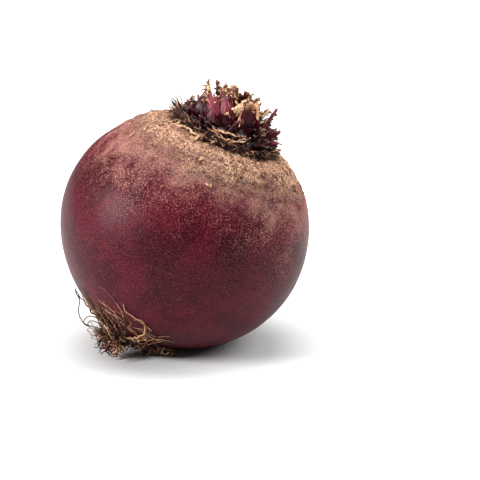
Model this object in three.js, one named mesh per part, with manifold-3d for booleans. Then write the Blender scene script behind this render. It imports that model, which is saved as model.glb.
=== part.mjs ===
// A whole beetroot lying on a table, as it is sold: the swollen root with its corky shoulder, the head
// of torn-off leaf stalks, the collar of dry leaf bases round that head, and the tuft of fine roots at
// the tail. Millimetres, +Z up. The origin is on the table, below the middle of the root.
// Everything is drawn in the root's own frame: its middle is at 0, 0, 0 and its crown points along +Z.
// One group then leans that frame over, as the root lies. An angle round the crown is a turn: 0 is
// towards +X.

import * as THREE from "three";
import { mergeVertices } from "three/addons/utils/BufferGeometryUtils.js";
import Module from "manifold-3d";

const wasm = await Module();
wasm.setup();

const degrees = THREE.MathUtils.degToRad;
const { clamp, lerp, smoothstep } = THREE.MathUtils;

// The root
const HALF_WIDTH = 42;
const HALF_HEIGHT = 40.2;
const LEAN = degrees(23.5); // of the crown, from upright towards +X
const CENTRE_HEIGHT = 39.9; // a little less than the root's reach, so the table cuts its flat spot
const CROWN_PLANE = 35.4; // height of the flat top that the head sits on
const CROWN_ROUNDING = 2.4; // where the shoulder is steepest, towards +X
const CROWN_SLOPE = 5; // how much rounder the crown's edge is towards -X
const SHOULDER_SHIFT = 0.62; // how far the shoulder bulges towards +X
const SHOULDER_AT = degrees(56);
const SHOULDER_SPREAD = degrees(16);
const SIDE_SWELL = 0.009; // how much fuller the root is on its -X side
const LOBE_SWELL = 0.005;
const COLUMNS = 56;
const ROWS = 34;

// The corky shoulder round the crown
const RING_SPACING = 4.4;
const RING_RELIEF = 0.28;
const FURROWS = 16;
const FURROW_DEPTH = 0.75;

// The tail
const TAIL = new THREE.Vector3(-0.194, -0.413, -0.89).normalize();
const TAIL_SWELL = 1.2;
const TAIL_SPREAD = degrees(28);
const TAIL_STUB_LENGTH = 4.4;
const TAIL_STUB_DIAMETER = 10;
const ROOTLETS = 44;
const CREEPING_ROOTLETS = 18; // the first ones, which cling to the skin
const ROOTLET_STEP = 0.5;
const COMB = new THREE.Vector3(-0.875, 0, 0.48); // the way the clinging rootlets are combed over the skin
const COMB_PULL = 0.075; // how fast they turn that way, for each millimetre
const GATHER = new THREE.Vector3(-0.4, 0.7, 0.55); // the way the others curl, up and back behind the tail
const GATHER_PULL = 0.2;

// The head
const DOME_RADIUS = 14.6;
const DOME_HEIGHT = 7;
const SPIRAL_STALKS = 34;
const SPIRAL_RADIUS = 14;
const GOLDEN_ANGLE = degrees(137.508);
const STALK_SPACING = 3.2; // a stalk of the spiral is left out where one of the main ones stands this close
const STALK_SUNK = 2.2;
const END_ROUNDING = 0.2; // how much shorter a stalk is at its sides than at its middle
const OPENING = new THREE.Vector2(5.5, -12); // in front of the stalk that has torn open
const OPENING_ROOM = 4.2; // how far round there no stalk of the spiral stands

// The collar
const COLLAR_RADIUS = 17;
const COLLAR_SHIFT = -0.7; // of its middle, from the crown's along X
const COLLAR_THICKNESS = 3.2;
const COLLAR_HEIGHT = 35.2;
const HUSKS = 54;

const GAP = 0.35; // between neighbouring parts

// How far the middles of these stay above the skin and the table
const HUSK_OFF_SKIN = GAP + 0.95;
const RING_OFF_SKIN = GAP + 0.3;
const ROOTLET_OFF_SKIN = 1;
const ROOTLET_OFF_TABLE = 0.75;
const TUFT_FRONT = -16.7; // further forward along Y than this, the tuft curls up off the table
const TUFT_RISE = 0.29; // by this much for each millimetre

// The stalks that give the head its outline. turn and radius say where each one stands. lean is its slant
// outward at the foot, bend how far it turns outward from foot to end, in radians, and sway how far its end
// lies sideways. aside moves the whole stalk sideways. arc is how far its width curls round, in degrees.
// facing is where its hollow side opens, inward unless it is given.
const INWARD = 1;
const OUTWARD = -1;
const MAIN_STALKS = [
  {
    turn: -85, radius: 8.2, lean: -24, bend: 0.75, sway: -3.8, length: 12.4, width: 12.5, arc: 190,
    facing: OUTWARD, aside: 4.8,
  },
  { turn: -100, radius: 10, lean: 14, bend: -0.9, sway: -4.5, length: 11.5, width: 8, arc: 140 },
  { turn: -124, radius: 11.5, lean: 22, bend: -1.05, sway: -5, length: 11.5, width: 9.5, arc: 150 },
  { turn: -120, radius: 7, lean: 8, bend: -0.3, sway: -4, length: 11, width: 9, arc: 140 },
  { turn: -162, radius: 13.2, lean: 12, bend: -0.7, sway: -1.2, length: 12.5, width: 8.5, arc: 130 },
  { turn: -172, radius: 9.5, lean: 20, bend: -0.1, sway: 0, length: 12.4, width: 5, arc: 120 },
  { turn: 175, radius: 5, lean: 18, bend: 0.3, sway: 0, length: 12.3, width: 3.2, arc: 120 },
  { turn: -150, radius: 3.4, lean: 8, bend: 0.1, sway: 0, length: 12, width: 7, arc: 130 },
  { turn: -40, radius: 3, lean: 10, bend: 0.2, sway: -1, length: 12.2, width: 8, arc: 140 },
  { turn: 172, radius: 4.2, lean: 14, bend: 0.1, sway: 0, length: 11.6, width: 6.5, arc: 140 },
  { turn: 150, radius: 3, lean: 2, bend: 0.1, sway: 0, length: 11.8, width: 8, arc: 150 },
  { turn: 60, radius: 3.6, lean: 4, bend: -0.2, sway: 0, length: 11.8, width: 5.5, arc: 150 },
  { turn: -18, radius: 8.8, lean: -12, bend: -0.15, sway: 0, length: 12, width: 7, arc: 130 },
  { turn: -12, radius: 10.6, lean: 4, bend: 0.1, sway: 0, length: 13.2, width: 3.2, arc: 120 },
  { turn: -13, radius: 12.2, lean: 26, bend: 0.1, sway: 0, length: 8.5, width: 3.2, arc: 120 },
  { turn: -26, radius: 13, lean: 38, bend: 0.3, sway: 0, length: 7, width: 3.4, arc: 120 },
  { turn: -171, radius: 13, lean: 30, bend: -0.3, sway: 0, length: 8, width: 3.6, arc: 120 },
  { turn: -74, radius: 13, lean: 46, bend: -0.2, sway: 0, length: 6, width: 6, arc: 110 },
];

// A fixed draw between 0 and 1: the same number and use always give the same value.
function chance(number, use) {
  const value = Math.sin(number * 12.9898 + use * 78.233) * 43758.5453;
  return value - Math.floor(value);
}

const between = (low, high, number, use) => lerp(low, high, chance(number, use));

function smoothMin(a, b, rounding) {
  const share = clamp(0.5 + (0.5 * (b - a)) / rounding, 0, 1);
  return lerp(b, a, share) - rounding * share * (1 - share);
}

// Solids

function toSolid(geometry) {
  geometry.deleteAttribute("normal");
  geometry.deleteAttribute("uv");
  const merged = mergeVertices(geometry);
  return new wasm.Manifold(
    new wasm.Mesh({
      numProp: 3,
      vertProperties: merged.attributes.position.array,
      triVerts: new Uint32Array(merged.index.array),
    }),
  );
}

function toGeometry(solid) {
  const { vertProperties, triVerts } = solid.getMesh();
  const geometry = new THREE.BufferGeometry();
  geometry.setAttribute("position", new THREE.BufferAttribute(vertProperties, 3));
  geometry.setIndex(new THREE.BufferAttribute(triVerts, 1));
  geometry.computeVertexNormals();
  return geometry;
}

const join = (solids) => wasm.Manifold.union(solids);

// The largest body of a solid: cutting leaves loose scraps, which are dropped.
function largestBody(solid) {
  return solid.decompose().reduce((a, b) => (b.volume() > a.volume() ? b : a));
}

function deform(geometry, place) {
  const position = geometry.attributes.position;
  const point = new THREE.Vector3();
  for (let i = 0; i < position.count; i++) {
    place(point.fromBufferAttribute(position, i));
    position.setXYZ(i, point.x, point.y, point.z);
  }
  return geometry;
}

// A tapering strand along evenly spaced points, closed at both ends.
function strand(path, thickness, sides) {
  const steps = path.length - 1;
  const curve = new THREE.CatmullRomCurve3(path);
  const { normals, binormals } = curve.computeFrenetFrames(steps);
  const tube = deform(new THREE.CylinderGeometry(1, 1, 1, sides, steps), (point) => {
    const step = Math.round((point.y + 0.5) * steps);
    const radius = thickness(step / steps) / 2;
    const { x, z } = point;
    point.copy(path[step]);
    point.addScaledVector(binormals[step], x * radius);
    point.addScaledVector(normals[step], z * radius);
  });
  return toSolid(tube);
}

// The root's skin

// Rings of cork round the crown and furrows that run down from it, in millimetres.
function shoulderRelief(polar, turn) {
  const down = polar * HALF_WIDTH;
  const fade = smoothstep(polar, degrees(44), degrees(60));
  const cork = smoothstep(polar, degrees(26), degrees(33)) * (1 - fade);
  const waver = 0.9 * Math.sin(3 * turn + 1) + 0.6 * Math.sin(7 * turn);
  const rings = Math.cos((2 * Math.PI * down) / RING_SPACING + waver);
  const furrow = Math.max(0, Math.cos(FURROWS * turn + 1.4 * Math.sin(2 * turn + 9 * polar))) ** 3;
  const patchy = 0.5 + 0.5 * Math.sin(2 * turn + 2.6);
  return cork * (RING_RELIEF * rings - FURROW_DEPTH * furrow * patchy);
}

// The distance from the root's middle to its skin along a direction.
function skinRadius(direction) {
  const polar = Math.acos(clamp(direction.z, -1, 1));
  const turn = Math.atan2(direction.y, direction.x);
  const across = Math.sin(polar);
  const ball = 1 / Math.hypot(across / HALF_WIDTH, direction.z / HALF_HEIGHT);
  const top = CROWN_PLANE / Math.max(direction.z, 0.2);
  const lobes = Math.cos(2 * turn + 0.7) + 0.6 * Math.cos(3 * turn + 2 + 2 * polar);
  const swell = 1 + across ** 2 * (LOBE_SWELL * lobes - SIDE_SWELL * Math.cos(turn));
  const tail = TAIL_SWELL * Math.exp(-((direction.angleTo(TAIL) / TAIL_SPREAD) ** 2));
  const bulge = Math.exp(-(((polar - SHOULDER_AT) / SHOULDER_SPREAD) ** 2));
  const shift = SHOULDER_SHIFT * Math.cos(turn) * bulge;
  const slope = CROWN_SLOPE * smoothstep(polar, degrees(18), degrees(32)) * (0.5 - 0.5 * Math.cos(turn));
  const rounded = smoothMin(ball * swell, top, CROWN_ROUNDING + slope);
  return rounded + tail + shift + shoulderRelief(polar, turn);
}

// Rows are closest on the shoulder, where the cork needs them.
function rowAngle(share) {
  const stops = [0, 0.1, 0.46, 1];
  const angles = [0, 25, 56, 180];
  const k = stops.findIndex((stop) => share <= stop + 1e-9) || 1;
  return degrees(lerp(angles[k - 1], angles[k], (share - stops[k - 1]) / (stops[k] - stops[k - 1])));
}

function rootBall() {
  const ball = new THREE.SphereGeometry(1, COLUMNS, ROWS).rotateX(Math.PI / 2);
  deform(ball, (point) => {
    const polar = rowAngle(Math.acos(clamp(point.z, -1, 1)) / Math.PI);
    const turn = Math.atan2(point.y, point.x);
    point.setFromSphericalCoords(1, polar, turn);
    point.set(point.z, point.x, point.y); // three.js measures these angles from +Y
    point.multiplyScalar(skinRadius(point));
  });
  return toSolid(ball);
}

// What lies below the table, in the root's frame.
function underTable() {
  const depth = 40;
  const block = new THREE.BoxGeometry(200, 200, depth).translate(0, 0, -depth / 2 - CENTRE_HEIGHT);
  return toSolid(block.rotateY(-LEAN));
}

const heightOverTable = (point) => CENTRE_HEIGHT + point.z * Math.cos(LEAN) - point.x * Math.sin(LEAN);
const tableNormal = new THREE.Vector3(-Math.sin(LEAN), 0, Math.cos(LEAN));

// The head of leaf stalks

const domeHeight = (radius) =>
  CROWN_PLANE + DOME_HEIGHT * Math.sqrt(1 - Math.min(radius / DOME_RADIUS, 0.99) ** 2);

function spiralStalk(number) {
  const share = Math.sqrt((number + 0.6) / SPIRAL_STALKS);
  return {
    turn: number * THREE.MathUtils.radToDeg(GOLDEN_ANGLE) + between(-9, 9, number, 1),
    radius: SPIRAL_RADIUS * share,
    lean: 5 + 40 * share ** 1.8 + between(-8, 8, number, 2),
    bend: between(-0.45, 0.35, number, 5),
    sway: between(-1.5, 1.5, number, 9),
    length: (10.8 - 5.6 * share ** 2) * between(0.7, 1.1, number, 3),
    width: (6 + 1.6 * share) * between(0.8, 1.2, number, 4),
    arc: between(95, 150, number, 6),
  };
}

function distanceBetween(a, b) {
  const turn = degrees(a.turn - b.turn);
  return Math.sqrt(a.radius ** 2 + b.radius ** 2 - 2 * a.radius * b.radius * Math.cos(turn));
}

function isInOpening(stalk) {
  const turn = degrees(stalk.turn);
  const foot = new THREE.Vector2(stalk.radius * Math.cos(turn), stalk.radius * Math.sin(turn));
  return foot.distanceTo(OPENING) < OPENING_ROOM;
}

function allStalks() {
  const spiral = Array.from({ length: SPIRAL_STALKS }, (_, number) => spiralStalk(number));
  const isFree = (stalk) => MAIN_STALKS.every((main) => distanceBetween(stalk, main) > STALK_SPACING);
  return [...MAIN_STALKS, ...spiral.filter(isFree).filter((stalk) => !isInOpening(stalk))];
}

// A leaf stalk is a curved plate, hollow on its inner side. across runs over its width from -0.5 to 0.5,
// along from its foot at 0 to its torn end at 1, and through its wall from -0.5 outside to 0.5 inside.
function stalkPoint(stalk, number, across, along, through) {
  const { bend } = stalk;
  const lean = degrees(stalk.lean);
  const arc = degrees(stalk.arc);
  const wall = between(1.3, 1.7, number, 7) * (1 - 0.35 * (2 * across) ** 2) * (1 - 0.25 * along);
  const phase = 6 * chance(number, 8);
  const torn = 0.08 * (1 + Math.sin(9 * across + phase)) + 0.06 * (1 + Math.sin(23 * across + 2 * phase));
  const worn = END_ROUNDING * (2 * across) ** 2;
  const reached = along * (1 - (torn + worn) * along);
  const tilt = lean + bend * reached;
  const width = stalk.width * (1.08 - 0.28 * along);
  const bow = width / arc;
  const outward = (stalk.length * (Math.cos(lean) - Math.cos(tilt))) / bend;
  const upward = (stalk.length * (Math.sin(tilt) - Math.sin(lean))) / bend;
  const inward = (stalk.facing ?? INWARD) * bow * (1 - Math.cos(arc * across)) + through * wall;
  const sideways = bow * Math.sin(arc * across) + stalk.sway * reached + (stalk.aside ?? 0);
  const radius = stalk.radius + outward - inward * Math.cos(tilt);
  const height = domeHeight(stalk.radius) - STALK_SUNK + upward + inward * Math.sin(tilt);
  const turn = degrees(stalk.turn);
  return [
    radius * Math.cos(turn) - sideways * Math.sin(turn),
    radius * Math.sin(turn) + sideways * Math.cos(turn),
    height,
  ];
}

function stalk(settings, number) {
  const columns = settings.arc > 180 ? 8 : 4;
  const plate = new THREE.BoxGeometry(1, 1, 1, columns, 1, 3);
  return toSolid(deform(plate, (p) => p.set(...stalkPoint(settings, number, p.x, p.z + 0.5, p.y))));
}

// The space over the crown that belongs to the head. The collar keeps below and outside it.
function headSpace(margin) {
  const inner = 15.4 + margin;
  const outer = 24 + margin;
  const top = 60;
  const floor = CROWN_PLANE + 2 * GAP;
  const outline = [
    [0, floor],
    [inner, floor],
    [inner, CROWN_PLANE + 1.6 - margin],
    [outer, CROWN_PLANE + 4.6 - margin],
    [outer, top],
    [0, top],
  ];
  const points = outline.map(([radius, height]) => new THREE.Vector2(radius, height));
  return toSolid(new THREE.LatheGeometry(points, 36).rotateX(Math.PI / 2));
}

function head() {
  const dome = new THREE.SphereGeometry(1, 20, 8);
  dome.rotateX(Math.PI / 2).scale(DOME_RADIUS - 0.6, DOME_RADIUS - 0.6, DOME_HEIGHT);
  dome.translate(0, 0, CROWN_PLANE);
  const pieces = [toSolid(dome), ...allStalks().map(stalk)];
  return largestBody(join(pieces).intersect(headSpace(-GAP / 2)));
}

// The collar of dry leaf bases

// A husk is a dry strip that springs from the collar. It bends down over the shoulder or stands off it.
function huskPath(number, steps) {
  const turn = number * GOLDEN_ANGLE + between(-0.1, 0.1, number, 11);
  const length = between(2.5, 6, number, 12) * (0.85 - 0.15 * Math.cos(turn));
  const rise = degrees(between(-35, 50, number, 13));
  const droop = degrees(between(-20, 60, number, 14));
  const sideways = between(-1.3, 1.3, number, 15);
  const start = COLLAR_RADIUS + between(-0.6, 1, number, 16);
  const foot = [start * Math.cos(turn) + COLLAR_SHIFT, start * Math.sin(turn), COLLAR_HEIGHT + 1];
  const point = new THREE.Vector3(...foot);
  keepOffSkin(point, HUSK_OFF_SKIN);
  const path = [point.clone()];
  for (let step = 1; step <= steps; step++) {
    const along = step / steps;
    const tilt = rise - droop * along;
    const heading = turn + sideways * along;
    const move = new THREE.Vector3(
      Math.cos(tilt) * Math.cos(heading),
      Math.cos(tilt) * Math.sin(heading),
      Math.sin(tilt),
    );
    point.addScaledVector(move, length / steps);
    keepOffSkin(point, HUSK_OFF_SKIN);
    path.push(point.clone());
  }
  return path;
}

function husk(number) {
  const base = between(1, 1.7, number, 17);
  return strand(huskPath(number, 3), (along) => lerp(base, 0.8, along), 3);
}

function collarRing() {
  const ring = new THREE.TorusGeometry(COLLAR_RADIUS, COLLAR_THICKNESS / 2, 6, 48);
  return toSolid(
    deform(ring, (point) => {
      const turn = Math.atan2(point.y, point.x);
      const swell = 0.14 * Math.sin(9 * turn) + 0.12 * Math.sin(14 * turn + 1);
      const radius = Math.hypot(point.x, point.y);
      const grown = COLLAR_RADIUS + (radius - COLLAR_RADIUS) * (1 + swell);
      const height = COLLAR_HEIGHT + point.z * (1 + swell);
      point.set(grown * Math.cos(turn) + COLLAR_SHIFT, grown * Math.sin(turn), height);
      keepOffSkin(point, RING_OFF_SKIN);
    }),
  );
}

function collar() {
  const pieces = [collarRing(), ...Array.from({ length: HUSKS }, (_, number) => husk(number))];
  return largestBody(join(pieces).subtract(headSpace(GAP / 2)));
}

// The tail and its fine roots

const skinUnder = (point) => skinRadius(point.clone().normalize());

function keepOffSkin(point, clearance) {
  const least = skinUnder(point) + clearance;
  if (point.length() < least) point.setLength(least);
}

function keepOffTable(point, clearance) {
  const short = clearance - heightOverTable(point);
  if (short > 0) point.addScaledVector(tableNormal, short);
}

// Two directions across the tail: the first one points up the skin, away from the table.
const tailUp = tableNormal.clone().addScaledVector(TAIL, -tableNormal.dot(TAIL)).normalize();
const tailSide = new THREE.Vector3().crossVectors(TAIL, tailUp);
const tailFoot = TAIL.clone().multiplyScalar(skinRadius(TAIL));

function aroundTail(angle) {
  return tailUp.clone().multiplyScalar(Math.cos(angle)).addScaledVector(tailSide, Math.sin(angle));
}

// A rootlet leaves the tail stub, clings to the skin or curls freely, and lies on the table if it meets it.
function rootletPath(number) {
  const creeps = number < CREEPING_ROOTLETS;
  const fan = lerp(0.3, -2.4, (number + 0.5) / CREEPING_ROOTLETS);
  const angle = (creeps ? fan : number * GOLDEN_ANGLE) + between(-0.2, 0.2, number, 21);
  const outward = aroundTail(angle);
  const height = creeps ? 1.2 : between(1.2, TAIL_STUB_LENGTH * 0.8, number, 22);
  const foot = creeps ? 3 : 2.4;
  const point = tailFoot.clone().addScaledVector(TAIL, height).addScaledVector(outward, foot);
  const spread = creeps ? 1.5 : between(0.3, 1.35, number, 23);
  const heading = outward.multiplyScalar(Math.sin(spread)).addScaledVector(TAIL, Math.cos(spread));
  const axis = new THREE.Vector3(...[24, 25, 26].map((use) => between(-1, 1, number, use))).normalize();
  const curl = creeps ? between(0.01, 0.07, number, 27) : between(0.14, 0.42, number, 27);
  const length = creeps ? between(9, 21, number, 28) : between(4, 8.5, number, 28);
  const path = [point.clone()];
  const turning = new THREE.Vector3();
  for (let done = 0; done < length; done += ROOTLET_STEP) {
    turning.crossVectors(axis, heading);
    heading.addScaledVector(turning, curl * ROOTLET_STEP);
    heading.addScaledVector(creeps ? COMB : GATHER, (creeps ? COMB_PULL : GATHER_PULL) * ROOTLET_STEP);
    heading.normalize();
    const before = point.clone();
    point.addScaledVector(heading, ROOTLET_STEP);
    if (creeps) point.setLength(lerp(point.length(), skinUnder(point) + ROOTLET_OFF_SKIN, 0.4));
    keepOffSkin(point, ROOTLET_OFF_SKIN);
    keepOffTable(point, Math.max(ROOTLET_OFF_TABLE, TUFT_RISE * (TUFT_FRONT - point.y)));
    if (point.length() < skinUnder(point) + 0.95 * ROOTLET_OFF_SKIN) break; // no room left under the root
    heading.subVectors(point, before).normalize();
    path.push(point.clone());
  }
  return path;
}

function rootlet(number) {
  const path = rootletPath(number);
  const stride = 4;
  const points = path.filter((_, index) => index % stride === 0);
  const base = between(0.85, 1.15, number, 29);
  return strand(points, (along) => lerp(base, 0.62, along), 4);
}

function tailStub() {
  const path = Array.from({ length: 6 }, (_, step) => {
    const along = step / 5;
    const point = tailFoot.clone().addScaledVector(TAIL, lerp(GAP, TAIL_STUB_LENGTH, along));
    return point.addScaledVector(tailUp, -1.6 * along ** 2);
  });
  const taper = (along) => TAIL_STUB_DIAMETER * (1 - 0.72 * along ** 0.8);
  return strand(path, taper, 9);
}

function tuft() {
  const pieces = [tailStub(), ...Array.from({ length: ROOTLETS }, (_, number) => rootlet(number))];
  return largestBody(join(pieces));
}

// Assembly

const colours = {
  swollen_root: { color: 0x5e2329, roughness: 0.5, metalness: 0 },
  leaf_stalks: { color: 0x6b1a2c, roughness: 0.55, metalness: 0 },
  dry_leaf_collar: { color: 0x4a3228, roughness: 0.9, metalness: 0 },
  fine_roots: { color: 0x8a6242, roughness: 0.85, metalness: 0 },
};

function named(name, solid) {
  const mesh = new THREE.Mesh(toGeometry(solid), new THREE.MeshStandardMaterial(colours[name]));
  mesh.name = name;
  return mesh;
}

const beetroot = new THREE.Group();
beetroot.rotation.y = LEAN;
beetroot.position.z = CENTRE_HEIGHT;
beetroot.add(
  named("swollen_root", rootBall().subtract(underTable())),
  named("leaf_stalks", head()),
  named("dry_leaf_collar", collar()),
  named("fine_roots", tuft()),
);

export default new THREE.Group().add(beetroot);
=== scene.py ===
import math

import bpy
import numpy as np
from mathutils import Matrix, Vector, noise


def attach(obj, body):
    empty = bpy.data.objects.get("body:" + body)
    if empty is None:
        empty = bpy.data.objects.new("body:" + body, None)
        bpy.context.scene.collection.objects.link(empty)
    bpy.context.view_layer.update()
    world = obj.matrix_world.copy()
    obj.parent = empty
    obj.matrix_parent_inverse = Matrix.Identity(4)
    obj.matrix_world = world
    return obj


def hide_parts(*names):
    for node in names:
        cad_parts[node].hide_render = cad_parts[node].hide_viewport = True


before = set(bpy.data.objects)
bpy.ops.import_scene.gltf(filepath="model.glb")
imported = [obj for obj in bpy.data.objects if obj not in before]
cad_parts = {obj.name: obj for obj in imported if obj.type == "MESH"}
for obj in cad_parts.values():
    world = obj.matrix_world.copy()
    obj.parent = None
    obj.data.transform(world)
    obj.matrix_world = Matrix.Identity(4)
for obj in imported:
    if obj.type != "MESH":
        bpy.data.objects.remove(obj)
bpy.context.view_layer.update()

# A whole beetroot on a pale table, in soft studio light.
# The root, the stalks, the husks and the rootlets follow the same formulas as the solids that they
# replace, in millimetres, in the root's own frame: its middle is at 0, 0, 0 and its crown points along
# +Z. An angle round the crown is a turn, and 0 is towards +X. place() leans that frame over and sets it
# on the table, in metres.

MM = 0.001

# The root
HALF_WIDTH = 42
HALF_HEIGHT = 40.2
LEAN = math.radians(23.5)  # of the crown, from upright towards +X
CENTRE_HEIGHT = 39.9
CROWN_PLANE = 35.4
CROWN_ROUNDING = 2.4
CROWN_SLOPE = 5
SHOULDER_SHIFT = 0.62
SHOULDER_AT = math.radians(56)
SHOULDER_SPREAD = math.radians(16)
SIDE_SWELL = 0.009
LOBE_SWELL = 0.005
SKIN_COLUMNS = 340
SKIN_ROWS = 260

# The corky shoulder
RING_SPACING = 4.4
RING_RELIEF = 0.28
FURROWS = 16
FURROW_DEPTH = 0.75
FLAKES = 90
DUST_AND_HIGHLIGHT_SHIFT = math.radians(10)  # how much higher the dust and the painted highlight end in front and behind than at the sides

# The tail
TAIL = np.array([-0.194, -0.413, -0.89]) / np.linalg.norm([-0.194, -0.413, -0.89])
TAIL_SWELL = 1.2
TAIL_SPREAD = math.radians(28)
TAIL_STUB_LENGTH = 4.4
TAIL_STUB_DIAMETER = 10
ROOTLETS = 120
SOLID_ROOTLETS = 44  # the first ones, which are the solid's own and thicker than the others
CREEPING_ROOTLETS = 18
COMBED_STRANDS = 24
CURLS = 110
# Single strands on the skin: how thick each one is, then the azimuth and the height over the table
# that it runs through, from its tip downward
STRANDS = [
    (0.3, [(-133, 28.3), (-129, 27.7), (-126, 25.3), (-124, 22.8), (-123, 21.1), (-120, 19.7)]),
    (0.42, [(-137, 22.7), (-132, 21.4), (-129, 19.8), (-127, 17.6), (-124, 15.8), (-123, 13.7),
            (-122, 10.6), (-120, 8.9)]),
    (0.6, [(-120, 23.7), (-120, 21.0), (-117, 19.2), (-113, 17.3), (-111, 15.8), (-109, 13.6)]),
    (0.34, [(-137, 20.3), (-134, 18.8), (-130, 17.8), (-127, 15.2), (-124, 12.4)]),
    (0.36, [(-99, 11.3), (-104, 10.9), (-109, 10.8), (-113, 11.9), (-117, 13)]),
    (0.3, [(-117, 17.6), (-113, 17.9), (-111, 16.8)]),
    (0.3, [(-121, 13.9), (-118, 13.8), (-114, 13.7)]),
    (0.62, [(-157, 19.0), (-159, 14.8), (-160, 11.4), (-160, 8.4)]),
    (0.55, [(-153, 19.5), (-152, 16.0), (-154, 12.5), (-159, 8.7)]),
    (0.5, [(-166, 16.7), (-165, 13.7), (-163, 11.2), (-161, 9.2)]),
    (0.62, [(-108, 9.2), (-113, 8.9), (-117, 7.6), (-133, 3.3), (-144, 2.4)]),
    (0.4, [(-117, 10.6), (-117, 9.2), (-119, 7.2)]),
    (0.34, [(-132, 19.8), (-125, 19.6), (-121, 18.4), (-120, 15.5)]),
    (0.28, [(-124, 23.7), (-123, 20.3), (-124, 16.4)]),
]
# Where each long loop beside the tuft runs: across the table along X, and over it
LOOPS = [
    [(-36.6, 22.2), (-36.4, 20.5), (-35.4, 18.7), (-35.3, 17.4), (-35.7, 15.4), (-35.6, 13),
     (-34.9, 11.3), (-33.9, 9.9), (-31.6, 8.9), (-28.5, 8)],
    [(-28.5, 11), (-30.5, 12.2), (-32.4, 12.4), (-33.8, 11.3), (-34, 9.8), (-32.4, 8.8)],
    [(-28, 9.4), (-30.4, 10.6), (-32, 10.7), (-32.7, 9.7), (-31.8, 8.3), (-29.4, 7.6)],
    [(-32.6, 8.2), (-32.8, 7.4), (-31.8, 6.7), (-30.2, 7.4), (-28, 7.8)],
]
LOOPS_AT = -12  # their place along Y
LOOP_POINTS = 48
MATTED_STRANDS = 150
ROOTLET_STEP = 0.5
COMB = np.array([-0.875, 0, 0.48])
COMB_PULL = 0.075
GATHER = np.array([-0.4, 0.7, 0.55])
GATHER_PULL = 0.2
TUFT_FRONT = -16.7  # further forward along Y than this, the tuft curls up off the table
TUFT_RISE = 0.29  # by this much for each millimetre

# The head
DOME_RADIUS = 14.6
DOME_HEIGHT = 7
SPIRAL_STALKS = 34
SPIRAL_RADIUS = 14
INNER_STALKS = 150  # small and unopened
INNER_RADIUS = 13.8
FIRST_INNER = 50  # their numbers start here, past those of the large stalks
GOLDEN_ANGLE = math.radians(137.508)
STALK_SPACING = 3.2
STALK_SUNK = 2.2
END_ROUNDING = 0.2
OPENING = np.array([5.5, -12])  # in front of the stalk that has torn open
OPENING_ROOM = 4.2  # how far round there no other stalk stands
FLAPS_A_STALK = 7
RIM_FIBRES = 22
RIM_STRINGS = 4
RIM_FRAYS = 16
CRUMBS = 420
CRUMBS_WITHIN = 6.5  # of the crown's middle
CLUTTER = 420
CLUTTER_BEYOND = 8  # from the crown's middle
SMOOTH_SHEATHS = 5  # the first ones in MAIN_STALKS, which carry no clutter

# The collar
COLLAR_RADIUS = 17
COLLAR_SHIFT = -0.7
COLLAR_THICKNESS = 3.2
COLLAR_HEIGHT = 35.2
HUSKS = 420
COLLAR_HAIRS = 60
FIRST_HAIR = 700  # their numbers start here, past those of the husks
STRANDS_A_THREAD = 3
THREAD_POINTS = 40
# Where each long thread runs: turn, radius and height
THREADS = [
    [(-158, 21, 33.2), (-142, 20.2, 34.6), (-124, 20, 35.2), (-104, 19.9, 35.4)],
    [(-120, 18, 38.8), (-104, 18.6, 38), (-88, 18.8, 37.8), (-72, 18.3, 40)],
    [(-112, 17.5, 39.5), (-98, 18.2, 39.4), (-84, 18, 40.2)],
]

# turn and radius say where a stalk stands. lean is its slant outward at the foot, bend how far it turns
# outward from foot to end, in radians, and sway how far its end lies sideways. arc is how far its width
# curls round, in degrees. dry is how far down from its end it has dried tan, up to 1, and below 0 it stays
# dark to its end.
STALK_FIELDS = ("turn", "radius", "lean", "bend", "sway", "length", "width", "arc", "dry")
MAIN_STALKS = [dict(zip(STALK_FIELDS, row)) for row in (
    (-85, 8.2, -24, 0.75, -3.8, 12.4, 12.5, 190, 0.3),
    (-100, 10, 14, -0.9, -4.5, 11.5, 8, 140, 0.2),
    (-124, 11.5, 22, -1.05, -5, 11.5, 9.5, 150, 0.1),
    (-120, 7, 8, -0.3, -4, 11, 9, 140, 0.15),
    (-162, 13.2, 12, -0.7, -1.2, 12.5, 8.5, 130, 0.2),
    (-172, 9.5, 20, -0.1, 0, 12.4, 5, 120, 1),
    (175, 5, 18, 0.3, 0, 12.3, 3.2, 120, 0.3),
    (-150, 3.4, 8, 0.1, 0, 12, 7, 130, 0.7),
    (-40, 3, 10, 0.2, -1, 12.2, 8, 140, 0.6),
    (172, 4.2, 14, 0.1, 0, 11.6, 6.5, 140, 0.7),
    (150, 3, 2, 0.1, 0, 11.8, 8, 150, 0.7),
    (60, 3.6, 4, -0.2, 0, 11.8, 5.5, 150, 0.6),
    (-18, 8.8, -12, -0.15, 0, 12, 7, 130, 0.5),
    (-12, 10.6, 4, 0.1, 0, 13.2, 3.2, 120, 0),
    (-13, 12.2, 26, 0.1, 0, 8.5, 3.2, 120, -0.05),
    (-26, 13, 38, 0.3, 0, 7, 3.4, 120, -0.05),
    (-171, 13, 30, -0.3, 0, 8, 3.6, 120, 0.2),
    (-74, 13, 46, -0.2, 0, 6, 6, 110, 0.2),
)]
# The stalk that has torn open: its hollow side opens outward, and it stands off sideways
INWARD, OUTWARD = 1, -1
MAIN_STALKS[0].update(facing=OUTWARD, aside=4.8)


# Numbers

def chance(number, use):
    """A fixed draw between 0 and 1: the same number and use always give the same value."""
    value = math.sin(number * 12.9898 + use * 78.233) * 43758.5453
    return value - math.floor(value)


def lerp(a, b, share):
    return a + (b - a) * share


def between(low, high, number, use):
    return lerp(low, high, chance(number, use))


def smoothstep(value, low, high):
    share = np.clip((value - low) / (high - low), 0, 1)
    return share * share * (3 - 2 * share)


def fade(angle, low, high):
    """The smooth step of an angle, from low to high in degrees."""
    return smoothstep(angle, math.radians(low), math.radians(high))


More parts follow.
